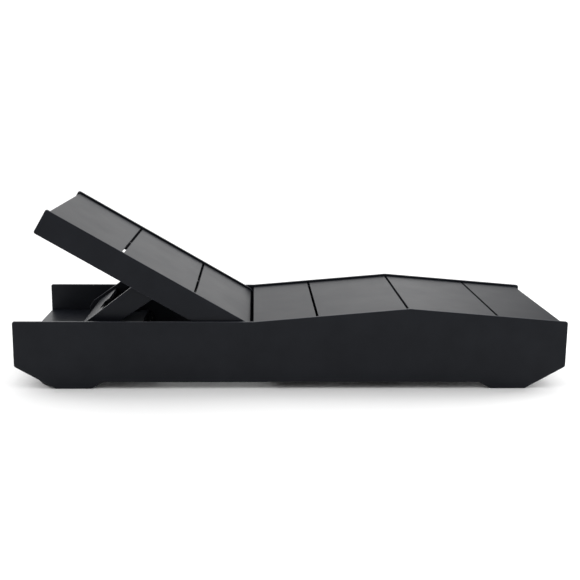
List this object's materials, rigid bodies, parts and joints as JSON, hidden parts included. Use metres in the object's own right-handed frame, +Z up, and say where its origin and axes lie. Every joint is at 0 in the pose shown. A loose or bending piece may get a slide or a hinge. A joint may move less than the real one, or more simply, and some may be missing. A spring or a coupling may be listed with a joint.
{
  "type": "adjustable sun lounger",
  "caption": "Low sun lounger of dark plastic sheet: raised side panels, slatted seat with a rise under the knees, reclining backrest on a folding prop, and hidden transport wheels.",
  "frame": {"origin": "on the ground, at the middle of the length and of the width", "axes": "+X to the foot end, +Y to the user's left, +Z up"},
  "size_m": [2, 0.69, 0.6462],
  "materials": {
    "sheet": "charcoal through-coloured polyethylene sheet, fine satin texture",
    "stainless": "plain stainless steel",
    "rubber": "black moulded rubber",
    "hub_plastic": "moulded nylon",
    "bearing_plastic": "turned acetal"
  },
  "bodies": {
    "base": {"axle_collars": "stainless", "foot_corner_cleats": "sheet", "foot_stretcher": "sheet", "head_corner_cleats": "sheet", "head_shelf": "sheet", "head_stretcher": "sheet", "middle_corner_cleats": "sheet", "middle_stretcher": "sheet", "pivot_bolts": "stainless", "pivot_corner_cleats": "sheet", "pivot_inserts": "stainless", "pivot_stretcher": "sheet", "pivot_washers": "bearing_plastic", "prop_rack_left": "sheet", "prop_rack_right": "sheet", "rack_screws": "stainless", "rest_pad_left": "rubber", "rest_pad_right": "rubber", "seat_cleat_left": "sheet", "seat_cleat_right": "sheet", "seat_cleat_screws": "stainless", "seat_rib_foot": "sheet", "seat_rib_head": "sheet", "seat_slat_1": "sheet", "seat_slat_2": "sheet", "seat_slat_3": "sheet", "seat_slat_4": "sheet", "seat_slat_screws": "stainless", "shelf_cleat_left": "sheet", "shelf_cleat_right": "sheet", "shelf_corner_cleats": "sheet", "shelf_stretcher": "sheet", "side_panel_left": "sheet", "side_panel_right": "sheet", "stretcher_screws": "stainless", "wheel_axle": "stainless"},
    "backrest": {"back_cleat_left": "sheet", "back_cleat_right": "sheet", "back_cleat_screws": "stainless", "back_rib": "sheet", "back_side_left": "sheet", "back_side_right": "sheet", "back_slat_1": "sheet", "back_slat_2": "sheet", "back_slat_3": "sheet", "back_slat_screws": "stainless", "prop_inserts": "stainless", "prop_bolts": "stainless", "pivot_bushes": "bearing_plastic"},
    "prop_frame": {"prop_arm_left": "sheet", "prop_arm_right": "sheet", "prop_bushes": "bearing_plastic", "prop_foot_rod": "stainless", "prop_panel": "sheet", "prop_panel_screws": "stainless"},
    "wheel_left": {"wheel_tyre_left": "rubber", "wheel_hub_left": "hub_plastic"},
    "wheel_right": {"wheel_tyre_right": "rubber", "wheel_hub_right": "hub_plastic"}
  },
  "joints": [
    {"name": "back_hinge", "type": "hinge", "parent": "base", "child": "backrest", "pos_m": [-0.186, 0, 0.2003], "axis": [0, 1, 0], "range_deg": [-30, 15]},
    {"name": "prop_hinge", "type": "hinge", "parent": "backrest", "child": "prop_frame", "pos_m": [-0.50431, 0, 0.36098], "axis": [0, 1, 0], "range_deg": [-32.2, 64.3]},
    {"name": "wheel_left_spin", "type": "hinge", "parent": "base", "child": "wheel_left", "pos_m": [-0.866, 0.313, 0.061], "axis": [0, 1, 0], "continuous": true},
    {"name": "wheel_right_spin", "type": "hinge", "parent": "base", "child": "wheel_right", "pos_m": [-0.866, -0.313, 0.061], "axis": [0, 1, 0], "continuous": true}
  ],
  "couplings": [
    {"joint": "prop_hinge", "follows": "back_hinge", "ratio": -2.14}
  ]
}
